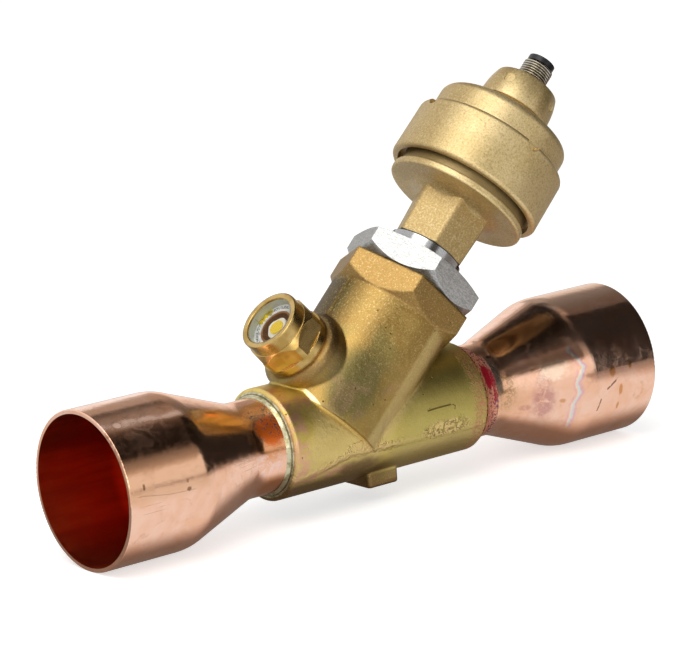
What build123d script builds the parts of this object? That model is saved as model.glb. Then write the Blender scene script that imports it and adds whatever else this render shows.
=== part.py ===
from build123d import *
import os
from math import acos, cos, pi, radians, sin, tan

os.makedirs("parts", exist_ok=True)

# Electronic expansion valve: a straight pipe run along X and a slanted spindle in the XZ plane.
# The origin is the centre of the inlet mouth. All sizes are in millimetres.

# Pipe run
cup_bore = 54.2
cup_wall = 1.5
cup_length = 33.4
cone_length = 31.0
cup_shoulder = 20.0
tube_shoulder = 14.0
tube_length = 12.6
tube_wall = 1.5
tube_depth = 9.0
socket_wall = 3.1
braze_gap = 0.05
inlet_braze_reach = 2.0
inlet_braze_height = 1.8
outlet_braze_reach = 5.5
outlet_braze_height = 2.6

# Cast body
barrel_diameter = 41.2
barrel_length = 90.0
barrel_chamfer = 1.0
passage_bore = 31.0
spindle_tilt = 45.0
spindle_shift = -20.0
branch_wall = 7.45
branch_foot = 3.0
seat_wall = 5.0
seat_top = 2.0
hex_step = 0.2
hex_low = 51.5
hex_rise = 4.1
hex_length = 7.2
spigot_wall = 3.5
spigot_length = 7.7
pad_length = 14.0
pad_width = 25.0
pad_drop = 22.6
pad_radius = 1.5
rib_width = 1.0
rib_height = 0.5

# Sight glass
sight_height = 18.7
sight_boss_diameter = 32.0
sight_boss_rise = 27.0
sight_boss_radius = 3.0
sight_thread = 18.0
sight_thread_depth = 9.0
sight_port = 10.0
sight_washer_thick = 0.8
sight_washer_step = 0.1
sight_flange_step = 0.8
sight_flange_thick = 2.9
sight_hex = 24.8
sight_hex_turn = 38.8
sight_bar = 27.7
sight_hex_length = 8.2
sight_hex_foot = 0.3
sight_hex_chamfer = 2.6
sight_waist_step = 0.2
sight_rim_step = 0.5
sight_rim_length = 4.9
sight_rim_edge = 0.5
sight_rim_wall = 2.4
window_depth = 1.6
window_thick = 2.4
label_thick = 0.3
label_width = 2.7
bowl_depth = 5.0
bowl_wall = 0.7
holder_size = 7.6
holder_corner = 2.6
holder_height = 3.9
dot_diameter = 5.6
dot_thick = 0.35

# Seat and piston
orifice = 18.0
seat_ring_wall = 3.0
seat_flange_step = 1.5
seat_flange_thick = 1.4
seat_lip_wall = 1.3
seat_lip_height = 2.0
stroke = 17.2
seat_gap = 0.05
piston_rim = 0.4
piston_length = 34.0
piston_floor = 8.0
running = 0.04
soft_seal_thick = 1.6
soft_seal_inside = 0.6
soft_seal_outside = 0.3
soft_seal_proud = 0.6
nose_lip = 0.9
nose_length = 6.0
nose_tip = 10.0
nose_clearance = 0.25
nose_stud = 8.0
nose_stud_length = 4.0
slide_ring_width = 2.4
slide_ring_depth = 1.2
slide_ring_drop = 2.5
guide_pin_diameter = 2.5
guide_pin_rise = 27.0
guide_pin_depth = 3.5
guide_pin_reach = 4.0
slot_clearance = 0.06

# Guide sleeve and nut
sleeve_rise = 26.0
sleeve_fit = 0.05
sleeve_wall = 5.0
sleeve_flange_step = 1.0
sleeve_flange_thick = 1.6
collar_diameter = 28.6
collar_height = 7.2
collar_thread = 18.0
collar_thread_depth = 13.0
seal_wire = 1.2
body_seal_drop = 10.5
nut_wall = 3.4
nut_turn = 35.8
nut_gap = 0.6
nut_web = 1.8
nut_foot_step = 0.2
nut_foot_chamfer = 3.7
nut_top_step = 1.0
nut_top_chamfer = 1.5

# Actuator base
neck_seal_thick = 0.6
neck_seal_diameter = 27.4
neck_hex = 25.4
neck_turn = 26.6
neck_draft = 2.6
neck_length = 20.5
neck_corner = 1.4
flare_height = 5.0
flare_core = 26.0
flare_width = 7.5
flange_step = 1.5
flange_thick = 3.0
flange_edge = 0.8
floor_rise = 0.6
spigot_step = 1.7
base_spigot_length = 9.1
pocket_wall = 2.8
plate_ledge = 0.6
shaft_hole_clearance = 0.4
screw_bearing_diameter = 13.0
screw_bearing_width = 4.0
seal_pocket = 10.0
seal_width = 3.0

# Clamping ring, cap and plug
ring_wall = 2.6
ring_taper = 0.3
ring_gap = 3.0
ring_length = 21.4
ring_mouth_clearance = 0.5
ring_mouth_depth = 2.6
ring_low_edge = 1.3
ring_top_edge = 1.6
thread_gap = 0.05
notch_count = 4
notch_radius = 2.7
notch_turn = 79.0
notch_rise = -0.4
notch_depth = 3.0
cap_seal_thick = 0.5
cap_clearance = 0.3
cap_wall = 2.4
cap_step = 1.1
cap_flange_thick = 3.0
cap_roof = 4.0
cap_edge = 3.4
cap_neck = 24.6
cap_neck_height = 4.4
cap_thread = 20.0
cap_thread_height = 5.7
lead_bore = 10.0
gland_foot_diameter = 27.9
gland_top_diameter = 24.0
gland_length = 12.2
gland_bow = 0.7
gland_edge = 1.4
gland_roof = 3.5
mark_count = 4
mark_turn = 110.0
mark_rise = 6.9
mark_radius = 2.0
mark_depth = 0.6
shell_diameter = 11.8
shell_neck_step = 0.3
shell_flange_step = 1.6
shell_flange_thick = 2.7
shell_length = 8.8
shell_wall = 0.6
insert_proud = 2.1
insert_wall = 1.0
socket_depth = 8.5
pin_circle_diameter = 4.8
pin_diameter = 1.0
pin_recess = 2.8
pin_tail = 2.2
lead_diameter = 0.9
lead_bend = 0.8
lead_circle_diameter = 32.0
lead_room = 1.5

# Gear train and motor
gear_module = 0.4
pinion_teeth = 13
wheel_teeth = 38
pressure_angle = 20.0
addendum_share = 0.8
dedendum_share = 1.05
backlash = 0.06
flank_steps = 2
gear_gap = 0.4
output_face = 2.4
wheel_face = 2.0
lay_pin_diameter = 1.6
lay_pin_seat = 1.5
screw_thread = 8.0
screw_shaft = 6.0
screw_chamfer = 0.8
tip_clearance = 0.8
motor_shaft = 3.0
pinion_seat = 2.0
plate_thick = 1.6
motor_bearing = 7.0
motor_bearing_width = 2.5
stator_diameter = 47.0
stator_height = 9.4
stator_split = 0.4
yoke_sheet = 1.0
pole_bore = 20.4
pole_count = 12
pole_window = 2.4
coil_gap = 0.2
magnet_clearance = 0.6
magnet_gap = 0.7

# Places along the pipe
cup_radius = cup_bore / 2 + cup_wall
tube_radius = barrel_diameter / 2 - socket_wall
body_start = cup_length + cone_length + tube_length
body_end = body_start + barrel_length
body_middle = (body_start + body_end) / 2
run_length = body_start + body_end

# Diameters that follow from the orifice: seat, seal, piston, sleeve, branch and nut
seat_diameter = orifice + 2 * seat_ring_wall
seat_flange = seat_diameter + 2 * seat_flange_step
seat_lip = orifice + 2 * seat_lip_wall
soft_seal_bore = orifice - 2 * soft_seal_inside
soft_seal_diameter = seat_lip + 2 * soft_seal_outside
piston_diameter = soft_seal_diameter + 2 * piston_rim
branch_bore = piston_diameter + 2 * sleeve_wall
branch_diameter = branch_bore + 2 * branch_wall
spigot_diameter = branch_bore + 2 * spigot_wall
sleeve_flange = spigot_diameter - 2 * sleeve_flange_step
hex_size = branch_diameter + 2 * hex_step
nut_hex = spigot_diameter + 2 * nut_wall
nut_foot_radius = nut_hex / 2 - nut_foot_step
nut_top_radius = nut_hex / 2 - nut_top_step

# Diameters that follow from the motor: cap, base and clamping ring
magnet_diameter = pole_bore - 2 * magnet_clearance
cap_bore = stator_diameter + 2 * cap_clearance
cap_diameter = cap_bore + 2 * cap_wall
cap_flange = cap_diameter + 2 * cap_step
base_spigot = cap_flange - 2 * spigot_step
gear_pocket = base_spigot - 2 * pocket_wall
plate_diameter = gear_pocket + 2 * plate_ledge
flange_diameter = base_spigot + 2 * flange_step
ring_mouth_bore = flange_diameter + 2 * ring_mouth_clearance
ring_diameter = ring_mouth_bore + 2 * ring_wall
ring_top_diameter = ring_diameter - 2 * ring_taper
shell_neck = shell_diameter + 2 * shell_neck_step
shell_flange = shell_neck + 2 * shell_flange_step

# Diameters of the sight glass
sight_flange_diameter = sight_hex + 2 * sight_flange_step
sight_washer_diameter = sight_flange_diameter - 2 * sight_washer_step
sight_waist_diameter = sight_hex - 2 * sight_waist_step
sight_rim_diameter = sight_hex - 2 * sight_rim_step
sight_bore = sight_rim_diameter - 2 * sight_rim_wall
label_bore = sight_bore - 2 * label_width

# Heights along the spindle, counted from the pipe's axis
seat_low = seat_top - seat_wall
lip_top = seat_top + seat_lip_height
piston_low = lip_top + seat_gap
piston_top = piston_low + piston_length
pin_height = piston_low + guide_pin_rise
screw_hole_low = piston_low + piston_floor
screw_tip = screw_hole_low + stroke + tip_clearance
sleeve_low = seat_top + sleeve_rise
hex_full = hex_low + hex_rise
hex_top = hex_full + hex_length
spigot_top = hex_top + spigot_length
body_seal_height = spigot_top - body_seal_drop
collar_low = spigot_top + sleeve_flange_thick
collar_top = collar_low + collar_height
nut_low = hex_top + nut_gap
nut_top = collar_low + nut_web
thread_low = collar_top - collar_thread_depth
neck_low = collar_top + neck_seal_thick
flange_low = neck_low + neck_length
flange_top = flange_low + flange_thick
gear_floor = flange_top + floor_rise
base_top = flange_top + base_spigot_length
plate_low = base_top - plate_thick
ring_low = flange_top + ring_gap
ring_top = ring_low + ring_length
cap_low = base_top + cap_seal_thick
cap_shoulder = cap_low + cap_flange_thick
stator_top = base_top + 2 * stator_height + stator_split
end_plate_top = stator_top + plate_thick
cap_ceiling = end_plate_top + lead_room
cap_top = cap_ceiling + cap_roof
gland_low = cap_top + cap_neck_height
gland_top = gland_low + gland_length
shell_low = gland_top - gland_roof - shell_flange_thick
shell_top = gland_top + shell_length
insert_top = shell_top + insert_proud
socket_low = insert_top - socket_depth

# Heights of the sight glass, counted from the spindle's axis
washer_top = sight_boss_rise + sight_washer_thick
sight_hex_low = washer_top + sight_flange_thick
sight_hex_top = sight_hex_low + sight_hex_length
sight_top = sight_hex_top + sight_rim_length
window_low = sight_top - window_depth - window_thick
label_low = window_low - label_thick
bowl_low = label_low - bowl_depth

# Axes and section planes: on a section the first coordinate is the radius, the second the height
tilt = radians(spindle_tilt)
foot = Vector(body_middle + spindle_shift, 0, 0)
up_spindle = Vector(sin(tilt), 0, cos(tilt))
off_spindle = Vector(-cos(tilt), 0, sin(tilt))
spindle = Axis(foot, up_spindle)
sight_foot = foot + up_spindle * sight_height
sight = Axis(sight_foot, off_spindle)
centre_distance = gear_module * (pinion_teeth + wheel_teeth) / 2
pipe_section = Plane(origin=(0, 0, 0), x_dir=(0, 0, 1), z_dir=(0, 1, 0))
sight_section = Plane(origin=sight_foot, x_dir=up_spindle, z_dir=(0, -1, 0))


def radial(turn):
    """Direction away from the spindle, its turn counted from +Y towards the sight glass."""
    return Vector(0, 1, 0) * cos(radians(turn)) + off_spindle * sin(radians(turn))


def section(turn):
    """Plane through the spindle on one side of it: distance first, then height."""
    return Plane(origin=foot, x_dir=radial(turn), z_dir=radial(turn).cross(up_spindle))


def facing(height, turn, distance=0.0):
    """Plane that faces away from the spindle at a height and a turn."""
    origin = foot + up_spindle * height + radial(turn) * distance
    return Plane(origin=origin, x_dir=up_spindle, z_dir=radial(turn))


profile = section(90)


def across(height, turn=0.0):
    """Plane across the spindle at a height."""
    return Plane(origin=foot + up_spindle * height, x_dir=radial(turn), z_dir=up_spindle)


def across_lay(height):
    """Plane across the lay shaft of the gear train at a height."""
    origin = foot + radial(0) * centre_distance + up_spindle * height
    return Plane(origin=origin, x_dir=radial(0), z_dir=up_spindle)


def across_sight(height, turn=0.0):
    """Plane across the sight glass at a height."""
    side = Vector(0, 1, 0) * cos(radians(turn)) - up_spindle * sin(radians(turn))
    return Plane(origin=sight_foot + off_spindle * height, x_dir=side, z_dir=off_spindle)


def hex_corner(across_flats):
    """Corner radius of a hexagon."""
    return across_flats / 2 / cos(pi / 6)


def spindle_ring(low, high, bore, diameter):
    """Plain ring or disc about the spindle between two heights."""
    with BuildPart() as ring:
        with BuildSketch(across(low)):
            Circle(diameter / 2)
            if bore > 0:
                Circle(bore / 2, mode=Mode.SUBTRACT)
        extrude(amount=high - low)
    return ring


def bearing(low, width, bore, diameter):
    """Closed bearing about the spindle with a recessed shield on each side."""
    middle = (bore + diameter) / 2
    shield = (diameter - bore) / 4
    with BuildPart() as race:
        with BuildSketch(across(low)):
            Circle(diameter / 2)
            Circle(bore / 2, mode=Mode.SUBTRACT)
        extrude(amount=width)
        for height, sense in ((low, 1), (low + width, -1)):
            with BuildSketch(across(height)):
                Circle((middle + shield) / 2)
                Circle((middle - shield) / 2, mode=Mode.SUBTRACT)
            extrude(amount=sense * width / 16, mode=Mode.SUBTRACT)
    return race


def save(piece, name):
    """Label a finished piece and write it."""
    piece.part.label = name
    export_step(piece.part, f"parts/{name}.step")


# Copper solder ends


def solder_stub(mouth, sense, tube_end):
    """Swaged copper end from its mouth to the end of its small tube, sense 1 or -1 along X."""
    cup_end = mouth + sense * cup_length
    cone_end = cup_end + sense * cone_length
    shoulders = [cup_shoulder, tube_shoulder]
    with BuildPart() as stub:
        with BuildSketch(pipe_section):
            with BuildLine():
                outside = FilletPolyline(
                    (cup_radius, mouth),
                    (cup_radius, cup_end),
                    (tube_radius, cone_end),
                    (tube_radius, tube_end),
                    radius=shoulders,
                )
                inside = FilletPolyline(
                    (cup_radius - cup_wall, mouth),
                    (cup_radius - cup_wall, cup_end),
                    (tube_radius - tube_wall, cone_end),
                    (tube_radius - tube_wall, tube_end),
                    radius=shoulders,
                )
                Line(outside @ 0, inside @ 0)
                Line(outside @ 1, inside @ 1)
            make_face()
        revolve(axis=Axis.X)
        rim = stub.edges().filter_by(GeomType.CIRCLE).filter_by(
            lambda edge: abs(edge.radius - cup_radius) < 1e-6
        ).sort_by(lambda edge: abs(edge.center().X - mouth))[0]
        fillet(rim, cup_wall * 0.3)
    return stub


inlet_stub = solder_stub(0, 1, body_start + tube_depth)
save(inlet_stub, "inlet_stub")
outlet_stub = solder_stub(run_length, -1, body_end - tube_depth)
save(outlet_stub, "outlet_stub")


def braze_ring(face, sense, reach, height):
    """Braze fillet in the corner of a tube and the body's end face, hollow towards the corner."""
    with BuildPart() as ring:
        with BuildSketch(pipe_section):
            with BuildLine():
                wall = Line((tube_radius, face), (tube_radius + height, face))
                edge = Line((tube_radius, face), (tube_radius, face + sense * reach))
                RadiusArc(wall @ 1, edge @ 1, sense * (reach + height))
            make_face()
        revolve(axis=Axis.X)
    return ring


inlet_braze = braze_ring(body_start, -1, inlet_braze_reach, inlet_braze_height)
save(inlet_braze, "inlet_braze")
outlet_braze = braze_ring(body_end, 1, outlet_braze_reach, outlet_braze_height)
save(outlet_braze, "outlet_braze")

# Cast body: barrel, slanted branch with its hexagon and thread, sight glass boss, pad and ways
with BuildPart() as inlet_way:
    with BuildSketch(Plane.YZ.offset(body_start)):
        Circle(passage_bore / 2)
    extrude(amount=barrel_length)
    split(bisect_by=across(seat_low), keep=Keep.BOTTOM)

with BuildPart() as outlet_way:
    with BuildSketch(Plane.YZ.offset(body_start)):
        Circle(passage_bore / 2)
    extrude(amount=barrel_length)
    split(bisect_by=across(seat_top), keep=Keep.TOP)

with BuildPart() as body_hexagon:
    with BuildSketch(across(hex_low)):
        RegularPolygon(hex_corner(hex_size), 6, rotation=30)
    extrude(amount=hex_top - hex_low)
    with BuildSketch(profile):
        with BuildLine():
            Polyline(
                (0, hex_low),
                (branch_diameter / 2, hex_low),
                (hex_corner(hex_size), hex_full),
                (hex_corner(hex_size), hex_top),
                (0, hex_top),
                close=True,
            )
        make_face()
    revolve(axis=spindle, mode=Mode.INTERSECT)

with BuildPart() as valve_body:
    with BuildSketch(Plane.YZ.offset(body_start)):
        Circle(barrel_diameter / 2)
    extrude(amount=barrel_length)
    chamfer(valve_body.edges().filter_by(GeomType.CIRCLE), barrel_chamfer)
    with BuildSketch(Plane.XY.offset(-pad_drop)):
        with Locations((body_middle, 0)):
            RectangleRounded(pad_length, pad_width, pad_radius)
    extrude(amount=pad_drop)
    pad_foot = valve_body.faces().sort_by(Axis.Z)[0]
    fillet(pad_foot.edges(), pad_radius * 0.6)
    with BuildSketch(across(branch_foot)):
        Circle(branch_diameter / 2)
    extrude(amount=hex_low - branch_foot)
    with BuildSketch(across_sight(0)):
        Circle(sight_boss_diameter / 2)
    extrude(amount=sight_boss_rise)
    boss_edge = valve_body.edges().filter_by(GeomType.CIRCLE).sort_by(
        lambda edge: (edge.center() - sight_foot).dot(off_spindle)
    )[-1]
    fillet(boss_edge, sight_boss_radius)
    add(body_hexagon.part)
    with BuildSketch(profile):
        with Locations((branch_diameter / 2, (sight_height + hex_low) / 2)):
            Rectangle(rib_height * 2, hex_low - sight_height)
    extrude(amount=rib_width / 2, both=True)
    with BuildSketch(across(hex_top)):
        Circle(spigot_diameter / 2)
    extrude(amount=spigot_length)
    with BuildSketch(across(seat_top)):
        Circle(branch_bore / 2)
    extrude(amount=spigot_top - seat_top, mode=Mode.SUBTRACT)
    add(inlet_way.part, mode=Mode.SUBTRACT)
    add(outlet_way.part, mode=Mode.SUBTRACT)
    with BuildSketch(across(seat_top)):
        Circle(seat_diameter / 2)
    extrude(amount=-2 * seat_wall, mode=Mode.SUBTRACT)
    for socket_end in (body_start, body_end - tube_depth):
        with BuildSketch(Plane.YZ.offset(socket_end)):
            Circle(tube_radius + braze_gap)
        extrude(amount=tube_depth, mode=Mode.SUBTRACT)
    with BuildSketch(across_sight(sight_boss_rise)):
        Circle(sight_thread / 2)
    extrude(amount=-sight_thread_depth, mode=Mode.SUBTRACT)
    with BuildSketch(across_sight(sight_boss_rise)):
        Circle(sight_port / 2)
    extrude(amount=branch_bore / 4 - sight_boss_rise, mode=Mode.SUBTRACT)
save(valve_body, "valve_body")

# Sight glass: hexagon body with its shank, washer, window, scale ring, bowl, holder and moisture dot
sight_washer_bore = sight_thread + 2 * thread_gap
with BuildPart() as sight_washer:
    with BuildSketch(across_sight(sight_boss_rise)):
        Circle(sight_washer_diameter / 2)
        Circle(sight_washer_bore / 2, mode=Mode.SUBTRACT)
    extrude(amount=sight_washer_thick)
save(sight_washer, "sight_washer")

sight_corner = hex_corner(sight_hex)
with BuildPart() as sight_body:
    with BuildSketch(across_sight(sight_hex_low, sight_hex_turn)):
        RegularPolygon(sight_corner, 6)
    extrude(amount=sight_hex_length)
    with BuildSketch(sight_section):
        with BuildLine():
            Polyline(
                (0, sight_hex_low),
                (sight_flange_diameter / 2, sight_hex_low),
                (sight_bar / 2, sight_hex_low + sight_hex_foot),
                (sight_bar / 2, sight_hex_top - sight_hex_chamfer),
                (sight_waist_diameter / 2, sight_hex_top),
                (0, sight_hex_top),
                close=True,
            )
        make_face()
    revolve(axis=sight, mode=Mode.INTERSECT)
    with BuildSketch(across_sight(washer_top)):
        Circle(sight_flange_diameter / 2)
    extrude(amount=sight_flange_thick)
    with BuildSketch(across_sight(sight_hex_top)):
        Circle(sight_rim_diameter / 2)
    extrude(amount=sight_rim_length)
    rim_edge = sight_body.edges().filter_by(GeomType.CIRCLE).sort_by(
        lambda edge: (edge.center() - sight_foot).dot(off_spindle)
    )[-1]
    fillet(rim_edge, sight_rim_edge)
    with BuildSketch(across_sight(washer_top)):
        Circle(sight_thread / 2)
    extrude(amount=-(sight_washer_thick + sight_thread_depth))
    with BuildSketch(across_sight(sight_top)):
        Circle(sight_bore / 2)
    extrude(amount=label_low - sight_top, mode=Mode.SUBTRACT)
    with BuildSketch(across_sight(label_low)):
        Circle(label_bore / 2)
    extrude(amount=-bowl_depth, mode=Mode.SUBTRACT)
    with BuildSketch(across_sight(bowl_low)):
        Circle(sight_port / 2)
    extrude(amount=sight_boss_rise - sight_thread_depth - bowl_low, mode=Mode.SUBTRACT)
save(sight_body, "sight_body")

with BuildPart() as sight_window:
    with BuildSketch(across_sight(window_low)):
        Circle(sight_bore / 2)
    extrude(amount=window_thick)
save(sight_window, "sight_window")

with BuildPart() as label_ring:
    with BuildSketch(across_sight(label_low)):
        Circle(sight_bore / 2)
        Circle(label_bore / 2, mode=Mode.SUBTRACT)
    extrude(amount=label_thick)
save(label_ring, "label_ring")

with BuildPart() as indicator_bowl:
    with BuildSketch(across_sight(bowl_low)):
        Circle(label_bore / 2)
    extrude(amount=bowl_depth)
    with BuildSketch(across_sight(bowl_low + bowl_wall)):
        Circle(label_bore / 2 - bowl_wall)
    extrude(amount=bowl_depth, mode=Mode.SUBTRACT)
save(indicator_bowl, "indicator_bowl")

holder_low = bowl_low + bowl_wall
with BuildPart() as indicator_holder:
    with BuildSketch(across_sight(holder_low, sight_hex_turn)):
        RectangleRounded(holder_size, holder_size, holder_corner)
    extrude(amount=holder_height)
save(indicator_holder, "indicator_holder")

with BuildPart() as moisture_dot:
    with BuildSketch(across_sight(holder_low + holder_height)):
        Circle(dot_diameter / 2)
    extrude(amount=dot_thick)
save(moisture_dot, "moisture_dot")

# Seat ring in the slanted wall
with BuildPart() as seat_ring:
    with BuildSketch(profile):
        with BuildLine():
            Polyline(
                (orifice / 2, seat_low),
                (seat_diameter / 2, seat_low),
                (seat_diameter / 2, seat_top),
                (seat_flange / 2, seat_top),
                (seat_flange / 2, seat_top + seat_flange_thick),
                (seat_lip / 2, seat_top + seat_flange_thick),
                (seat_lip / 2, lip_top),
                (orifice / 2, lip_top),
                close=True,
            )
        make_face()
    revolve(axis=spindle)
save(seat_ring, "seat_ring")

# Piston with its nose, soft seal, slide ring and guide pin
seal_top = piston_low + soft_seal_thick
groove_top = piston_top - slide_ring_drop
groove_low = groove_top - slide_ring_width
groove_radius = piston_diameter / 2 - slide_ring_depth
screw_bore = screw_thread + 2 * running
sleeve_bore = piston_diameter + 2 * running
with BuildPart() as piston:
    with BuildSketch(profile):
        with BuildLine():
            Polyline(
                (0, seal_top),
                (soft_seal_diameter / 2, seal_top),
                (soft_seal_diameter / 2, piston_low + soft_seal_proud),
                (piston_diameter / 2, piston_low + soft_seal_proud),
                (piston_diameter / 2, groove_low),
                (groove_radius, groove_low),
                (groove_radius, groove_top),
                (piston_diameter / 2, groove_top),
                (piston_diameter / 2, piston_top),
                (screw_bore / 2, piston_top),
                (screw_bore / 2, screw_hole_low),
                (0, screw_hole_low),
                close=True,
            )
        make_face()
    revolve(axis=spindle)
    with BuildSketch(across(seal_top)):
        Circle(nose_stud / 2)
    extrude(amount=nose_stud_length, mode=Mode.SUBTRACT)
    with BuildSketch(facing(pin_height, 0, piston_diameter / 2 - guide_pin_depth)):
        Circle(guide_pin_diameter / 2)
    extrude(amount=piston_diameter, mode=Mode.SUBTRACT)
save(piston, "piston")

nose_low = piston_low - nose_length
nose_radius = orifice / 2 - nose_clearance
with BuildPart() as plug_nose:
    with BuildSketch(profile):
        with BuildLine():
            Polyline(
                (0, nose_low),
                (nose_tip / 2, nose_low),
                (nose_radius, piston_low - nose_lip),
                (nose_radius, piston_low),
                (soft_seal_bore / 2, piston_low),
                (soft_seal_bore / 2, seal_top),
                (nose_stud / 2, seal_top),
                (nose_stud / 2, seal_top + nose_stud_length),
                (0, seal_top + nose_stud_length),
                close=True,
            )
        make_face()
    revolve(axis=spindle)
save(plug_nose, "plug_nose")

plug_seal = spindle_ring(piston_low, seal_top, soft_seal_bore, soft_seal_diameter)
save(plug_seal, "plug_seal")
slide_ring = spindle_ring(groove_low, groove_top, 2 * groove_radius, piston_diameter + running)
save(slide_ring, "slide_ring")

with BuildPart() as guide_pin:
    with BuildSketch(facing(pin_height, 0, piston_diameter / 2 - guide_pin_depth)):
        Circle(guide_pin_diameter / 2)
    extrude(amount=guide_pin_depth + guide_pin_reach)
save(guide_pin, "guide_pin")

# Guide sleeve: the cartridge that the nut clamps on the body, with the slot for the piston's pin
sleeve_radius = branch_bore / 2 - sleeve_fit
seal_groove = sleeve_radius - seal_wire
with BuildPart() as guide_sleeve:
    with BuildSketch(profile):
        with BuildLine():
            Polyline(
                (sleeve_bore / 2, sleeve_low),
                (sleeve_radius, sleeve_low),
                (sleeve_radius, body_seal_height),
                (seal_groove, body_seal_height),
                (seal_groove, body_seal_height + seal_wire),
                (sleeve_radius, body_seal_height + seal_wire),
                (sleeve_radius, spigot_top),
                (sleeve_flange / 2, spigot_top),
                (sleeve_flange / 2, collar_low),
                (collar_diameter / 2, collar_low),
                (collar_diameter / 2, collar_top),
                (collar_thread / 2, collar_top),
                (collar_thread / 2, thread_low),
                (sleeve_bore / 2, thread_low),
                close=True,
            )
        make_face()
    revolve(axis=spindle)
    slot_width = guide_pin_diameter + 2 * slot_clearance
    with BuildSketch(facing(pin_height + stroke / 2, 0)):
        SlotCenterToCenter(stroke, slot_width)
    extrude(amount=branch_bore, mode=Mode.SUBTRACT)
save(guide_sleeve, "guide_sleeve")

with BuildPart() as body_seal:
    with BuildSketch(profile):
        with Locations((sleeve_radius - seal_wire / 2, body_seal_height + seal_wire / 2)):
            Circle(seal_wire / 2)
    revolve(axis=spindle)
save(body_seal, "body_seal")

# Union nut with strong chamfers on both ends
nut_corner = hex_corner(nut_hex)
with BuildPart() as lock_nut:
    with BuildSketch(across(nut_low, nut_turn)):
        RegularPolygon(nut_corner, 6)
    extrude(amount=nut_top - nut_low)
    with BuildSketch(profile):
        with BuildLine():
            Polyline(
                (spigot_diameter / 2 + thread_gap, nut_low),
                (nut_foot_radius, nut_low),
                (nut_corner, nut_low + nut_foot_chamfer),
                (nut_corner, nut_top - nut_top_chamfer),
                (nut_top_radius, nut_top),
                (collar_diameter / 2 + thread_gap, nut_top),
                (collar_diameter / 2 + thread_gap, collar_low),
                (spigot_diameter / 2 + thread_gap, collar_low),
                close=True,
            )
        make_face()
    revolve(axis=spindle, mode=Mode.INTERSECT)
save(lock_nut, "lock_nut")

neck_seal = spindle_ring(collar_top, neck_low, collar_thread, neck_seal_diameter)
save(neck_seal, "neck_seal")

# Actuator base: threaded spigot, forged hexagon neck, flange and gear pocket
shaft_hole = screw_shaft / 2 + shaft_hole_clearance
with BuildPart() as actuator_base:
    with BuildSketch(across(neck_low, neck_turn)):
        RegularPolygon(hex_corner(neck_hex), 6)
        fillet(vertices(), neck_corner)
    extrude(amount=neck_length, taper=-neck_draft)
    with BuildSketch(profile):
        with BuildLine():
            flare = EllipticalCenterArc(
                (flare_core / 2 + flare_width, flange_low - flare_height),
                flare_width,
                flare_height,
                start_angle=90,
                arc_size=90,
            )
            Polyline(
                flare @ 0,
                (flange_diameter / 2, flange_low),
                (flange_diameter / 2, flange_top),
                (base_spigot / 2, flange_top),
                (base_spigot / 2, base_top),
                (0, base_top),
                (0, flange_low - flare_height),
                flare @ 1,
            )
        make_face()
    revolve(axis=spindle)
    flange_rims = actuator_base.edges().filter_by(GeomType.CIRCLE).filter_by(
        lambda edge: abs(edge.radius - flange_diameter / 2) < 1e-6
    )
    fillet(flange_rims, flange_edge)
    with BuildSketch(across(neck_low)):
        Circle(collar_thread / 2)
    extrude(amount=thread_low - neck_low)
    with BuildSketch(across(thread_low)):
        Circle(seal_pocket / 2)
    extrude(amount=seal_width, mode=Mode.SUBTRACT)
    with BuildSketch(across(thread_low)):
        Circle(shaft_hole)
    extrude(amount=gear_floor - thread_low, mode=Mode.SUBTRACT)
    with BuildSketch(across(gear_floor)):
        Circle(screw_bearing_diameter / 2)
    extrude(amount=-screw_bearing_width, mode=Mode.SUBTRACT)
    with BuildSketch(across(gear_floor)):
        Circle(gear_pocket / 2)
    extrude(amount=base_top - gear_floor, mode=Mode.SUBTRACT)
    with BuildSketch(across(plate_low)):
        Circle(plate_diameter / 2)
    extrude(amount=plate_thick, mode=Mode.SUBTRACT)
    with BuildSketch(across_lay(gear_floor)):
        Circle(lay_pin_diameter / 2)
    extrude(amount=-lay_pin_seat, mode=Mode.SUBTRACT)
save(actuator_base, "actuator_base")

screw_bearing = bearing(
    gear_floor - screw_bearing_width,
    screw_bearing_width,
    screw_shaft + 2 * running,
    screw_bearing_diameter,
)
save(screw_bearing, "screw_bearing")
spindle_seal = spindle_ring(thread_low, thread_low + seal_width, screw_shaft + 2 * running, seal_pocket)
save(spindle_seal, "spindle_seal")

# Gear train from the motor to the screw


def gear_outline(teeth):
    """Corner points of a spur gear with involute flanks, one tooth centred on the first direction."""
    alpha = radians(pressure_angle)
    pitch = gear_module * teeth / 2
    base = pitch * cos(alpha)
    tip = pitch + addendum_share * gear_module
    root = pitch - dedendum_share * gear_module
    half_base = (pi * gear_module / 2 - backlash) / 2 / pitch + tan(alpha) - alpha
    start = max(base, root)
    flank = [(root, half_base)]
    for step in range(flank_steps + 1):
        radius = start + (tip - start) * step / flank_steps
        roll = acos(min(1.0, base / radius))
        flank.append((radius, half_base - tan(roll) + roll))
    tooth = [(radius, -angle) for radius, angle in flank] + flank[::-1]
    points = []
    for index in range(teeth):
        centre = 2 * pi * index / teeth
        points += [(r * cos(centre + a), r * sin(centre + a)) for r, a in tooth]
    return points


output_low = gear_floor + gear_gap
output_top = output_low + output_face
screw_top = output_top
with BuildPart() as output_gear:
    with BuildSketch(across(output_low)):
        with BuildLine():
            Polyline(*gear_outline(wheel_teeth), close=True)
        make_face()
        Circle(screw_shaft / 2, mode=Mode.SUBTRACT)
    extrude(amount=output_face)
save(output_gear, "output_gear")

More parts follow.
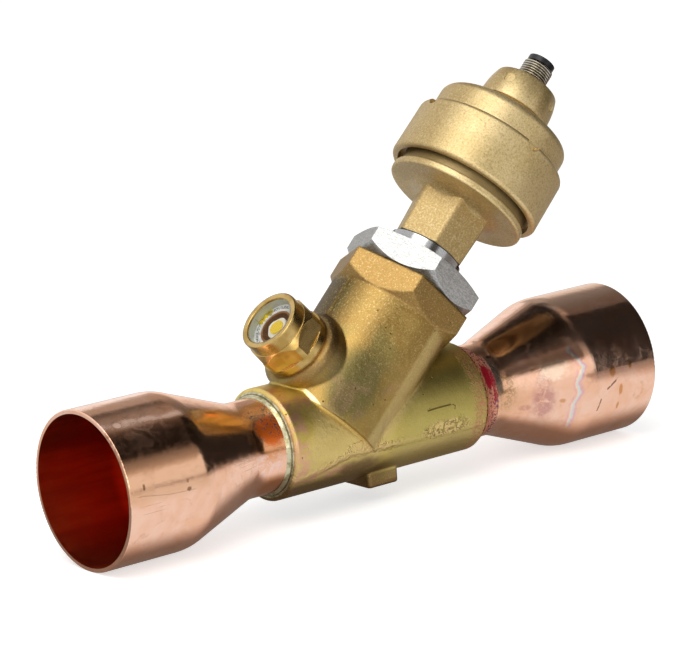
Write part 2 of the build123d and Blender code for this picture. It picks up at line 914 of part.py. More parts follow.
wheel_low = output_top + 2 * gear_gap
with BuildPart() as lay_gear:
    with BuildSketch(across_lay(output_low)):
        with BuildLine():
            Polyline(*gear_outline(pinion_teeth), close=True)
        make_face()
    extrude(amount=wheel_low - output_low)
    with BuildSketch(across_lay(wheel_low)):
        with BuildLine():
            Polyline(*gear_outline(wheel_teeth), close=True)
        make_face()
    extrude(amount=wheel_face)
    with BuildSketch(across_lay(output_low)):
        Circle(lay_pin_diameter / 2 + running)
    extrude(amount=wheel_low + wheel_face - output_low, mode=Mode.SUBTRACT)
save(lay_gear, "lay_gear")

with BuildPart() as lay_pin:
    with BuildSketch(across_lay(gear_floor - lay_pin_seat)):
        Circle(lay_pin_diameter / 2)
    extrude(amount=base_top - gear_floor + lay_pin_seat)
save(lay_pin, "lay_pin")

with BuildPart() as lead_screw:
    with BuildSketch(profile):
        with BuildLine():
            Polyline(
                (0, screw_tip),
                (screw_thread / 2 - screw_chamfer, screw_tip),
                (screw_thread / 2, screw_tip + screw_chamfer),
                (screw_thread / 2, thread_low - gear_gap),
                (screw_shaft / 2, thread_low - gear_gap),
                (screw_shaft / 2, screw_top),
                (0, screw_top),
                close=True,
            )
        make_face()
    revolve(axis=spindle)
save(lead_screw, "lead_screw")

# Motor: plates, bearings, rotor and the two claw-pole stators
with BuildPart() as gear_plate:
    with BuildSketch(across(plate_low)):
        Circle(plate_diameter / 2)
        Circle(motor_bearing / 2, mode=Mode.SUBTRACT)
        with Locations((centre_distance, 0)):
            Circle(lay_pin_diameter / 2, mode=Mode.SUBTRACT)
    extrude(amount=plate_thick)
save(gear_plate, "gear_plate")

lower_bearing = bearing(plate_low, motor_bearing_width, motor_shaft + 2 * running, motor_bearing)
save(lower_bearing, "lower_bearing")
upper_bearing_low = end_plate_top - motor_bearing_width
upper_bearing = bearing(upper_bearing_low, motor_bearing_width, motor_shaft + 2 * running, motor_bearing)
save(upper_bearing, "upper_bearing")

pinion_low = wheel_low - gear_gap / 2
pinion_top = wheel_low + wheel_face + gear_gap / 2
shaft_top = end_plate_top
with BuildPart() as rotor_shaft:
    with BuildSketch(profile):
        with BuildLine():
            Polyline(
                (0, pinion_low),
                (pinion_seat / 2, pinion_low),
                (pinion_seat / 2, pinion_top),
                (motor_shaft / 2, pinion_top),
                (motor_shaft / 2, shaft_top),
                (0, shaft_top),
                close=True,
            )
        make_face()
    revolve(axis=spindle)
save(rotor_shaft, "rotor_shaft")

with BuildPart() as motor_pinion:
    with BuildSketch(across(pinion_low, 180)):
        with BuildLine():
            Polyline(*gear_outline(pinion_teeth), close=True)
        make_face()
        Circle(pinion_seat / 2, mode=Mode.SUBTRACT)
    extrude(amount=pinion_top - pinion_low)
save(motor_pinion, "motor_pinion")

magnet_low = plate_low + motor_bearing_width + magnet_gap
magnet_top = upper_bearing_low - magnet_gap
rotor_magnet = spindle_ring(magnet_low, magnet_top, motor_shaft, magnet_diameter)
save(rotor_magnet, "rotor_magnet")


def stator_half(low):
    """Steel yoke of one winding: a closed channel whose inner wall is slit into claw poles."""
    high = low + stator_height
    outer = stator_diameter / 2
    inner = pole_bore / 2
    with BuildPart() as yoke:
        with BuildSketch(profile):
            with Locations(((inner + outer) / 2, (low + high) / 2)):
                Rectangle(outer - inner, stator_height)
                Rectangle(outer - inner - 2 * yoke_sheet, stator_height - 2 * yoke_sheet, mode=Mode.SUBTRACT)
        revolve(axis=spindle)
        with BuildSketch(across(low + yoke_sheet)):
            with PolarLocations(inner, pole_count):
                Rectangle(4 * yoke_sheet, pole_window)
        extrude(amount=stator_height - 2 * yoke_sheet, mode=Mode.SUBTRACT)
    return yoke


def winding(low):
    """Wound coil inside one yoke."""
    return spindle_ring(
        low + yoke_sheet,
        low + stator_height - yoke_sheet,
        pole_bore + 6 * yoke_sheet + 2 * coil_gap,
        stator_diameter - 2 * yoke_sheet - 2 * coil_gap,
    )


upper_stator_low = base_top + stator_height + stator_split
lead_turns = [45 + 90 * index for index in range(4)]
stator_lower = stator_half(base_top)
save(stator_lower, "stator_lower")
with BuildPart() as stator_upper:
    add(stator_half(upper_stator_low).part)
    with BuildSketch(across(stator_top)):
        with PolarLocations(lead_circle_diameter / 2, 4, start_angle=lead_turns[0]):
            Circle(lead_diameter / 2 + running)
    extrude(amount=-yoke_sheet, mode=Mode.SUBTRACT)
save(stator_upper, "stator_upper")
save(winding(base_top), "coil_lower")
save(winding(upper_stator_low), "coil_upper")

with BuildPart() as end_plate:
    with BuildSketch(across(stator_top)):
        Circle(stator_diameter / 2)
        Circle(motor_bearing / 2, mode=Mode.SUBTRACT)
        with PolarLocations(lead_circle_diameter / 2, 4, start_angle=lead_turns[0]):
            Circle(lead_diameter / 2 + running, mode=Mode.SUBTRACT)
    extrude(amount=plate_thick)
save(end_plate, "end_plate")

stator_spacer = spindle_ring(base_top + stator_height, upper_stator_low, pole_bore, stator_diameter)
save(stator_spacer, "stator_spacer")

# Cap, its seal and the clamping ring
cap_seal = spindle_ring(base_top, cap_low, cap_bore, cap_flange)
save(cap_seal, "cap_seal")

with BuildPart() as housing_cap:
    with BuildSketch(profile):
        with BuildLine():
            Polyline(
                (cap_bore / 2, cap_low),
                (cap_flange / 2, cap_low),
                (cap_flange / 2, cap_shoulder),
                (cap_diameter / 2, cap_shoulder),
                (cap_diameter / 2, cap_top),
                (cap_neck / 2, cap_top),
                (cap_neck / 2, gland_low),
                (cap_thread / 2, gland_low),
                (cap_thread / 2, gland_low + cap_thread_height),
                (lead_bore / 2, gland_low + cap_thread_height),
                (lead_bore / 2, cap_ceiling),
                (cap_bore / 2, cap_ceiling),
                close=True,
            )
        make_face()
    revolve(axis=spindle)
    crown = housing_cap.edges().filter_by(GeomType.CIRCLE).filter_by(
        lambda edge: abs(edge.radius - cap_diameter / 2) < 1e-6
    ).sort_by(lambda edge: (edge.center() - foot).dot(up_spindle))[-1]
    fillet(crown, cap_edge)
save(housing_cap, "housing_cap")

with BuildPart() as housing_ring:
    with BuildSketch(profile):
        with BuildLine():
            Polyline(
                (ring_mouth_bore / 2, ring_low),
                (ring_diameter / 2, ring_low),
                (ring_top_diameter / 2, ring_top),
                (cap_diameter / 2 + thread_gap, ring_top),
                (cap_diameter / 2 + thread_gap, cap_shoulder),
                (cap_flange / 2 + thread_gap, cap_shoulder),
                (cap_flange / 2 + thread_gap, base_top),
                (base_spigot / 2 + thread_gap, base_top),
                (base_spigot / 2 + thread_gap, ring_low + ring_mouth_depth),
                (ring_mouth_bore / 2, ring_low + ring_mouth_depth),
                close=True,
            )
        make_face()
    revolve(axis=spindle)
    rims = housing_ring.edges().filter_by(GeomType.CIRCLE).filter_by(
        lambda edge: edge.radius > ring_mouth_bore / 2 + thread_gap
    ).sort_by(lambda edge: (edge.center() - foot).dot(up_spindle))
    fillet(rims[0], ring_low_edge)
    fillet(rims[-1], ring_top_edge)
    for index in range(notch_count):
        notch_angle = notch_turn + 360 / notch_count * index
        with BuildSketch(facing(ring_top + notch_rise, notch_angle, ring_top_diameter / 2 - notch_depth)):
            Circle(notch_radius)
        extrude(amount=ring_diameter, mode=Mode.SUBTRACT)
save(housing_ring, "housing_ring")

# Plug: domed gland, threaded shell, insert, contact pins and their leads
gland_bore = cap_thread + 2 * thread_gap
shell_bore = shell_diameter - 2 * shell_wall
with BuildPart() as connector_gland:
    with BuildSketch(profile):
        with BuildLine():
            dome_low = (gland_foot_diameter / 2, gland_low)
            dome_high = (gland_top_diameter / 2, gland_top)
            dome_middle = (
                (gland_foot_diameter + gland_top_diameter) / 4 + gland_bow,
                (gland_low + gland_top) / 2,
            )
            ThreePointArc(dome_low, dome_middle, dome_high)
            Polyline(
                dome_high,
                (shell_neck / 2, gland_top),
                (shell_neck / 2, gland_top - gland_roof),
                (shell_flange / 2, gland_top - gland_roof),
                (shell_flange / 2, shell_low),
                (gland_bore / 2, shell_low),
                (gland_bore / 2, gland_low),
                dome_low,
            )
        make_face()
    revolve(axis=spindle)
    dome_edge = connector_gland.edges().filter_by(GeomType.CIRCLE).filter_by(
        lambda edge: abs(edge.radius - gland_top_diameter / 2) < 1e-6
    )
    fillet(dome_edge, gland_edge)
    mark_distance = (gland_foot_diameter + gland_top_diameter) / 4 + gland_bow - mark_depth
    for index in range(mark_count):
        mark_angle = mark_turn + 360 / mark_count * index
        with BuildSketch(facing(gland_low + mark_rise, mark_angle, mark_distance)):
            Circle(mark_radius)
        extrude(amount=gland_foot_diameter, mode=Mode.SUBTRACT)
save(connector_gland, "connector_gland")

with BuildPart() as connector_shell:
    with BuildSketch(profile):
        with BuildLine():
            Polyline(
                (shell_bore / 2, shell_low),
                (shell_flange / 2, shell_low),
                (shell_flange / 2, gland_top - gland_roof),
                (shell_neck / 2, gland_top - gland_roof),
                (shell_neck / 2, gland_top),
                (shell_diameter / 2, gland_top),
                (shell_diameter / 2, shell_top),
                (shell_bore / 2, shell_top),
                close=True,
            )
        make_face()
    revolve(axis=spindle)
    shell_rim = connector_shell.edges().filter_by(GeomType.CIRCLE).filter_by(
        lambda edge: abs(edge.radius - shell_diameter / 2) < 1e-6
    ).sort_by(lambda edge: (edge.center() - foot).dot(up_spindle))[-1]
    chamfer(shell_rim, shell_wall / 2)
save(connector_shell, "connector_shell")

with BuildPart() as connector_insert:
    with BuildSketch(across(shell_low)):
        Circle(shell_bore / 2)
    extrude(amount=insert_top - shell_low)
    with BuildSketch(across(insert_top)):
        Circle(shell_bore / 2 - insert_wall)
    extrude(amount=-socket_depth, mode=Mode.SUBTRACT)
    with BuildSketch(across(shell_low)):
        with PolarLocations(pin_circle_diameter / 2, 4, start_angle=lead_turns[0]):
            Circle(pin_diameter / 2)
    extrude(amount=socket_low - shell_low, mode=Mode.SUBTRACT)
save(connector_insert, "connector_insert")

pin_low = shell_low - pin_tail
with BuildPart() as plug_pins:
    with BuildSketch(across(pin_low)):
        with PolarLocations(pin_circle_diameter / 2, 4, start_angle=lead_turns[0]):
            Circle(pin_diameter / 2)
    extrude(amount=insert_top - pin_recess - pin_low)
save(plug_pins, "plug_pins")

lead_level = (end_plate_top + cap_ceiling) / 2
with BuildPart() as motor_leads:
    for turn in lead_turns:
        with BuildLine(section(turn)) as route:
            FilletPolyline(
                (pin_circle_diameter / 2, pin_low),
                (pin_circle_diameter / 2, lead_level),
                (lead_circle_diameter / 2, lead_level),
                (lead_circle_diameter / 2, stator_top - yoke_sheet),
                radius=lead_bend,
            )
        with BuildSketch(Plane(origin=route.line @ 0, z_dir=route.line % 0)):
            Circle(lead_diameter / 2)
        sweep(path=route.line)
save(motor_leads, "motor_leads")
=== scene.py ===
import math

import bpy
from mathutils import Matrix, Vector


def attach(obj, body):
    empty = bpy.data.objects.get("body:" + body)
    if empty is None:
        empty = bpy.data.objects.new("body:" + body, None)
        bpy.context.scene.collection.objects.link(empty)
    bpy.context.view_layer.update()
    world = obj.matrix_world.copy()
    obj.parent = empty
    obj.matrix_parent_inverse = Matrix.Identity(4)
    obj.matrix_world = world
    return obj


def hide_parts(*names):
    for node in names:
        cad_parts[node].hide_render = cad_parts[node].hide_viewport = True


# Looks of the electronic expansion valve: patterns in millimetres and degrees, the studio in metres
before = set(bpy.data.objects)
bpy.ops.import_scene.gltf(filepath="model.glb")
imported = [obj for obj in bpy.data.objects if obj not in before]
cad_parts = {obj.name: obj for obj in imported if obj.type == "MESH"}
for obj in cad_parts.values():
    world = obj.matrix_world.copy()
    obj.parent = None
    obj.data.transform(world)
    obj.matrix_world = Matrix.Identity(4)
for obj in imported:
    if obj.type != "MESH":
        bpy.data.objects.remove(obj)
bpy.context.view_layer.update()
MM = 0.001
DEGREES = 180 / math.pi
BLACK = (0.0, 0.0, 0.0, 1.0)
WHITE = (1.0, 1.0, 1.0, 1.0)

# Places on the valve: the spindle's foot on the pipe and its tilt, the sight glass, the barrel, the middle
SPINDLE_X = 102.0
TILT = math.sqrt(0.5)
SIGHT_RISE = 18.7
BARREL_RADIUS = 21.2
MIDDLE_X = 120.0


class Field:
    """One output in a material's node tree, used in plain arithmetic."""

    def __init__(self, socket):
        self.socket = socket

    def node(self, kind, inputs, out=0, **settings):
        """A new node in this tree, its inputs fed with fields and plain values."""
        tree = self.socket.id_data
        made = tree.nodes.new("ShaderNode" + kind)
        for name, value in settings.items():
            setattr(made, name, value)
        for key, value in inputs.items():
            if isinstance(value, Field):
                tree.links.new(value.socket, made.inputs[key])
            else:
                made.inputs[key].default_value = value
        return Field(made.outputs[out])

    def math(self, operation, *others):
        return self.node("Math", dict(enumerate((self, *others))), operation=operation)

    def __add__(self, other):
        return self.math("ADD", other)

    def __sub__(self, other):
        return self.math("SUBTRACT", other)

    def __mul__(self, other):
        return self.math("MULTIPLY", other)

    def __truediv__(self, other):
        return self.math("DIVIDE", other)

    def __radd__(self, other):
        return self.node("Math", {0: other, 1: self}, operation="ADD")

    def __rsub__(self, other):
        return self.node("Math", {0: other, 1: self}, operation="SUBTRACT")

    def __rmul__(self, other):
        return self.node("Math", {0: other, 1: self}, operation="MULTIPLY")

    def __pow__(self, other):
        return self.math("POWER", other)

    def __neg__(self):
        return self.math("MULTIPLY", -1.0)

    def __abs__(self):
        return self.math("ABSOLUTE")

    def rise(self, low, high):
        """0 below low, 1 above high and smooth between; falls where low is the larger."""
        return self.node(
            "MapRange", {0: self, 1: low, 2: high, 3: 0.0, 4: 1.0}, interpolation_type="SMOOTHSTEP"
        )

    def band(self, centre, half, soft):
        """1 within half of the centre and 0 outside it."""
        return abs(self - centre).rise(half + soft, half)

    def path(self, *stops):
        """Straight runs through pairs of place and value, level beyond the ends."""
        value = stops[0][1]
        for (start, low), (end, high) in zip(stops, stops[1:]):
            value = self.node("MapRange", {0: self, 1: start, 2: end, 3: 0.0, 4: high - low}) + value
        return value

    def most(self, other):
        return self.math("MAXIMUM", other)

    def least(self, other):
        return self.math("MINIMUM", other)


class Paint:
    """A metal, plastic or glass surface built from patterns in the object's own frame."""

    def __init__(self, name):
        self.material = bpy.data.materials.new(name)
        self.material.use_nodes = True
        tree = self.material.node_tree
        self.shader = tree.nodes["Principled BSDF"]
        place = tree.nodes.new("ShaderNodeTexCoord")
        self.place = Field(place.outputs["Object"]).node(
            "VectorMath", {0: Field(place.outputs["Object"]), 3: 1 / MM}, operation="SCALE"
        )
        parts = self.place.node("SeparateXYZ", {0: self.place})
        outputs = parts.socket.node.outputs
        self.x, self.y, self.z = (Field(outputs[index]) for index in range(3))
        self.pipe_radius = (self.y * self.y + self.z * self.z).math("SQRT")
        self.pipe_turn = self.z.math("ARCTAN2", -self.y) * DEGREES
        along = self.x - SPINDLE_X
        self.rise_up = (along + self.z) * TILT
        self.off = (self.z - along) * TILT
        self.spindle_radius = (self.off * self.off + self.y * self.y).math("SQRT")
        self.spindle_turn = self.off.math("ARCTAN2", self.y) * DEGREES
        facing = parts.node("SeparateXYZ", {0: Field(place.outputs["Normal"])}).socket.node.outputs
        outward = (Field(facing[1]) * self.y + Field(facing[2]) * self.z) / self.pipe_radius
        self.inside = outward.rise(-0.15, -0.4)

    def noise(self, size, detail=2.0, rough=0.5, warp=0.0, place=None):
        """Cloudy pattern from 0 to 1, with features of about this size."""
        values = {
            "Vector": place or self.place,
            "Scale": 1 / size,
            "Detail": detail,
            "Roughness": rough,
            "Distortion": warp,
        }
        return self.place.node("TexNoise", values)

    def cells(self, size):
        """Distance from the nearest of many scattered points."""
        return self.place.node("TexVoronoi", {"Vector": self.place, "Scale": 1 / size})

    def joined(self, x, y, z):
        """Three fields as one place, for a pattern that runs long one way."""
        return self.place.node("CombineXYZ", {0: x, 1: y, 2: z})

    def mixed(self, first, second, share):
        """First colour where the share is 0, second where it is 1."""
        return self.place.node("Mix", {0: share, 6: first, 7: second}, out=2, data_type="RGBA")

    def sight_circle(self):
        """Distance from the sight glass's axis, and the turn about it."""
        along = self.rise_up - SIGHT_RISE
        radius = (along * along + self.y * self.y).math("SQRT")
        return radius, along.math("ARCTAN2", self.y) * DEGREES

    def spot(self, x, turn, half_x, half_turn, ragged=0.0, size=2.0, soft=0.35):
        """A patch on the pipe about a place along it and a turn about it, with a ragged edge."""
        reach = ((self.x - x) / half_x) ** 2.0 + ((self.pipe_turn - turn) / half_turn) ** 2.0
        edge = reach.math("SQRT")
        if ragged:
            edge = edge + (self.noise(size, 3.0, 0.6) - 0.5) * ragged
        return edge.rise(1.0 + soft, 1.0 - soft)

    def spots(self, *patches):
        """Several such patches together."""
        shown = self.spot(*patches[0])
        for patch in patches[1:]:
            shown = shown.most(self.spot(*patch))
        return shown

    def finish(self, colour, rough, metallic=1.0, height=None, bevel=0.0, **more):
        """Set the surface. Heights and the bevel's radius are in millimetres."""
        tree = self.material.node_tree
        values = {"Base Color": colour, "Roughness": rough, "Metallic": metallic, **more}
        if height is not None or bevel:
            inputs = {"Strength": 1.0, "Distance": MM, "Height": height if height is not None else 0.0}
            if bevel:
                inputs["Normal"] = self.place.node("Bevel", {"Radius": bevel * MM}, samples=6)
            values["Normal"] = self.place.node("Bump", inputs)
        for name, value in values.items():
            if isinstance(value, Field):
                tree.links.new(value.socket, self.shader.inputs[name])
            else:
                self.shader.inputs[name].default_value = value
        return self.material


def rgb(red, green, blue):
    """Screen colour from 0 to 255 as a linear colour."""
    levels = [value / 255 for value in (red, green, blue)]
    return tuple(v / 12.92 if v <= 0.04045 else ((v + 0.055) / 1.055) ** 2.4 for v in levels) + (1.0,)


def dress(material, *names):
    """Give CAD nodes a material."""
    for name in names:
        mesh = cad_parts[name].data
        mesh.materials.clear()
        mesh.materials.append(material)


def copper():
    """Drawn copper: bright satin with drawing lines, handling stains and heat tints near the body."""
    paint = Paint("drawn_copper")
    x, turn = paint.x, paint.pipe_turn
    inlet = x.rise(MIDDLE_X + 5.0, MIDDLE_X - 5.0)
    outlet = 1.0 - inlet
    inlet_cup = x.rise(35.0, 31.0)
    drawn = paint.noise(1.0, 3.0, 0.65, place=paint.joined(x / 40.0, turn / 1.6, paint.pipe_radius / 30.0))
    cloud = paint.noise(15.0, 4.0, 0.6, 0.5)
    smear = paint.noise(5.0, 4.0, 0.65, 1.2)
    fine = paint.noise(0.9, 3.0, 0.7)
    base = paint.mixed(rgb(250, 206, 182), rgb(244, 190, 158), cloud.rise(0.35, 0.65))
    base = paint.mixed(base, rgb(226, 172, 140), smear.rise(0.56, 0.75) * 0.5)

    # Inlet: beige band on the cup, heat tints on the cone and tube, handling marks, a painted highlight
    # along a low ridge, and painted shade in the cup's dark band
    beige = inlet * turn.band(18.0, 14.0, 9.0) * x.rise(37.0, 32.0)
    base = paint.mixed(base, rgb(226, 178, 142), beige * 0.8)
    gold = paint.spot(47.0, 48.0, 17.0, 12.0, 0.5, 6.0, 0.5)
    base = paint.mixed(base, rgb(255, 192, 122), gold)
    tarnish = paint.spot(66.0, 58.0, 9.0, 14.0, 0.6, 4.0, 0.5) * inlet
    base = paint.mixed(base, rgb(206, 158, 118), tarnish * 0.8)
    orange = paint.spot(71.0, 33.0, 6.5, 17.0, 0.8, 2.6, 0.25)
    brown = paint.spots((69.0, 22.0, 9.0, 26.0, 0.6, 3.5, 0.4), (71.0, -44.0, 7.0, 18.0, 0.6, 4.0, 0.5))
    base = paint.mixed(base, rgb(214, 142, 84), brown * 0.75)
    base = paint.mixed(base, rgb(226, 108, 34), orange)
    flakes = paint.spots((73.5, 44.0, 6.0, 22.0, 0.9, 2.4, 0.3), (66.5, 56.0, 3.0, 6.0, 0.8, 2.0))
    flakes = flakes * paint.noise(0.9, 3.0, 0.75, 0.6).rise(0.53, 0.57)
    base = paint.mixed(base, rgb(70, 62, 66), flakes)
    pearl = inlet * paint.spot(66.0, -6.0, 7.0, 14.0, 0.8, 4.0, 0.5) * smear.rise(0.4, 0.6)
    base = paint.mixed(base, rgb(250, 226, 222), pearl * 0.5)
    marks = paint.spots((6.0, 10.5, 0.5, 2.4, 1.3, 0.8), (24.3, 1.3, 0.9, 1.4, 1.3, 0.8))
    marks = marks.most(paint.spot(24.0, 7.0, 0.6, 1.3, 1.3, 0.8) * 0.7)
    scratch = abs(turn - x.path((5.0, 4.4), (16.0, 1.0), (25.0, 0.2))).rise(0.5, 0.1)
    marks = marks.most(scratch * x.band(15.0, 11.0, 2.0) * 0.4)
    hair = paint.noise(1.0, 2.0, 0.5, place=paint.joined(x / 16.0, turn / 0.9, 3.0)).rise(0.66, 0.7)
    marks = marks.most(hair * inlet * turn.band(4.0, 10.0, 6.0) * 0.6)
    base = paint.mixed(base, rgb(120, 84, 60), marks * 0.8)
    # Painted highlight: a pale wavy line along a low ridge on the inlet cup, with a slight bump
    wave = (paint.noise(11.0, 1.0) - 0.5) * 8.0
    ridge_turn = x.path((0.0, 59.5), (20.0, 58.0), (34.0, 56.5)) + wave
    ridge_highlight = abs(turn - ridge_turn).rise(5.0, 0.2) * inlet_cup
    ridge_highlight = ridge_highlight * (0.45 + paint.noise(8.0, 2.0, 0.5).rise(0.4, 0.6) * 0.55)
    ridge_highlight = ridge_highlight.most(paint.spot(6.0, 58.5, 1.6, 2.6, 0.3, 1.0))
    ridge_highlight = ridge_highlight.most(paint.spot(18.0, 58.0, 2.4, 2.0, 0.3, 1.0) * 0.6)
    base = paint.mixed(base, rgb(255, 214, 196), ridge_highlight * 0.8)
    # Painted shade: the dark reflection band on the inlet cup made darker and browner in smears
    dark_band_shade = turn.band(42.0, 9.0, 6.0) * inlet_cup
    base = paint.mixed(base, rgb(158, 118, 94), dark_band_shade * (0.3 + smear.rise(0.62, 0.42) * 0.6))

    # Outlet: purple cloud, bloom, a painted glare highlight, crackle, a rainbow line, painted shade on the
    # cone's top, haze, painted shade beside the braze, rust and dark dashes
    purple = paint.spots((192.6, -11.0, 4.2, 17.0, 1.3, 3.0, 0.6), (193.6, 12.0, 2.2, 7.0, 0.8, 2.5, 0.8))
    purple = purple.most(paint.spot(186.0, -17.0, 2.6, 3.5, 0.8, 2.0, 0.4) * 0.8)
    purple = purple * paint.noise(3.2, 4.0, 0.65, 0.8).rise(0.25, 0.6)
    base = paint.mixed(base, rgb(192, 134, 128), purple * 0.75)
    bloom = paint.spot(178.0, -2.0, 7.0, 26.0, 0.9, 4.0, 0.5)
    base = paint.mixed(base, rgb(222, 170, 128), bloom * 0.7)
    # Painted highlight: a pale patch where a lamp's glare shows on the outlet cone
    glare = paint.spot(197.5, 17.0, 5.5, 9.0, 1.4, 2.6, 0.3) * outlet
    base = paint.mixed(base, rgb(255, 226, 200), glare * 0.8)
    crackle = paint.noise(1.6, 3.0, 0.7, 1.0).rise(0.5, 0.54)
    crackle = crackle * paint.spot(177.0, 8.0, 5.0, 24.0, 0.9, 3.0, 0.4)
    base = paint.mixed(base, rgb(150, 130, 92), crackle * 0.5)
    zigzag = ((-34.0, 204.7), (-15.0, 204.3), (-6.0, 206.7), (2.0, 205.7), (14.0, 208.8), (28.0, 205.2))
    away = x - turn.path(*zigzag) + (paint.noise(2.0, 4.0, 0.7) - 0.5) * 2.6
    shown = turn.band(-3.0, 32.0, 6.0) * outlet * paint.noise(2.6, 3.0, 0.6).rise(0.26, 0.46)
    for shift, width, tint in (
        (-1.3, 1.3, rgb(240, 176, 178)),
        (-0.6, 0.8, rgb(252, 236, 200)),
        (0.0, 0.9, rgb(196, 226, 236)),
        (1.0, 0.9, rgb(216, 168, 194)),
        (2.1, 1.5, rgb(244, 192, 160)),
    ):
        base = paint.mixed(base, tint, abs(away - shift).rise(width, 0.1) * shown * 0.6)
    # Painted shade: the top of the outlet's cone darkened brown
    top_shade = paint.spots((187.0, 66.0, 19.0, 12.0, 0.6, 5.0, 0.5), (197.0, 54.0, 12.0, 12.0, 0.5, 5.0, 0.4))
    base = paint.mixed(base, rgb(138, 104, 80), top_shade * outlet * 0.88)
    haze = x.rise(204.0, 210.0) * turn.rise(58.0, 76.0)
    base = paint.mixed(base, rgb(236, 210, 194), haze * 0.7)
    shade = paint.spot(175.5, 27.0, 1.8, 24.0, 0.5, 3.0, 0.6)
    base = paint.mixed(base, rgb(96, 90, 84), shade * 0.85)
    rust = paint.spots(
        (221.8, 5.0, 1.5, 4.0, 0.7, 1.4),
        (226.1, -10.7, 0.9, 4.2, 0.7, 1.4),
        (225.8, -24.2, 0.6, 3.2, 0.6, 1.2),
        (231.0, 7.0, 0.8, 3.0, 0.7, 1.2),
    )
    ring = abs(((x - 235.5) ** 2.0 + ((turn + 15.0) * 0.32) ** 2.0).math("SQRT") - 2.2).rise(0.9, 0.2)
    rust = rust.most(ring * 0.35 * smear.rise(0.4, 0.55))
    rust = rust.most(paint.spot(200.0, -11.7, 1.2, 1.8, 0.9, 1.0) * 0.8)
    base = paint.mixed(base, rgb(204, 138, 74), rust * 0.8)
    dash = (turn + 4.8) * 0.5 - (x - 221.5) * 0.6
    dash = abs(dash).rise(0.7, 0.2) * x.band(221.5, 2.4, 0.4)
    dash = dash.most(abs(x - 215.8 - (turn + 19.4) * 0.12).rise(0.5, 0.15) * turn.band(-19.4, 4.5, 1.0))
    base = paint.mixed(base, rgb(110, 70, 56), dash * fine.rise(0.36, 0.5) * 0.85)

    # Heat stains and crimson flux beside the outlet's braze, and the red inside of both ends
    crimson = paint.spots((171.8, 27.0, 2.6, 17.0, 0.8, 1.6, 0.15), (172.4, 6.0, 1.6, 9.0, 1.4, 1.2, 0.15))
    band = x.band(168.5, 5.5, 0.8) * turn.band(2.0, 52.0, 8.0)
    speckle = paint.noise(0.8, 3.0, 0.65).rise(0.5, 0.55) * band
    violet = paint.noise(1.1, 2.0, 0.6).rise(0.55, 0.6) * band * turn.rise(12.0, -4.0)
    base = paint.mixed(base, rgb(226, 150, 120), band * 0.7)
    base = paint.mixed(base, rgb(120, 52, 58), speckle * 0.85)
    base = paint.mixed(base, rgb(92, 66, 118), violet * 0.8)
    base = paint.mixed(base, rgb(170, 22, 52), crimson * (0.7 + fine.rise(0.62, 0.4) * 0.3))
    base = paint.mixed(base, rgb(24, 12, 14), paint.spot(176.3, 54.3, 0.5, 1.6, 0.3, 1.0))
    streak = paint.noise(1.0, 3.0, 0.5, place=paint.joined(x / 50.0, turn / 16.0, 7.0))
    deep = paint.mixed(rgb(196, 92, 50), rgb(236, 116, 56), (streak * 0.85 + drawn * 0.15).rise(0.3, 0.7))
    deep = paint.mixed(deep, rgb(180, 74, 40), turn.band(-110.0, 20.0, 18.0) * 0.7)
    deep = paint.mixed(deep, rgb(196, 110, 64), x.rise(33.0, 37.0) * 0.6)
    base = paint.mixed(base, deep, paint.inside)

    dull = orange * 0.5 + flakes * 0.8 + band * 0.45 + shade * 0.3 + crimson * 0.2
    dull = (dull + ridge_highlight * 0.85 + tarnish * 0.25).least(1.0)
    rough = 0.10 + drawn * 0.08 + smear.rise(0.45, 0.75) * 0.12 + dull * 0.3 + paint.inside * 0.16
    height = drawn * 0.008 + cloud * 0.10 + smear * 0.03 + fine * (0.002 + flakes * 0.04)
    height = height + speckle * 0.08 + ridge_highlight * 0.03
    return paint.finish(base, rough, 0.985 - dull * 0.5, height=height)


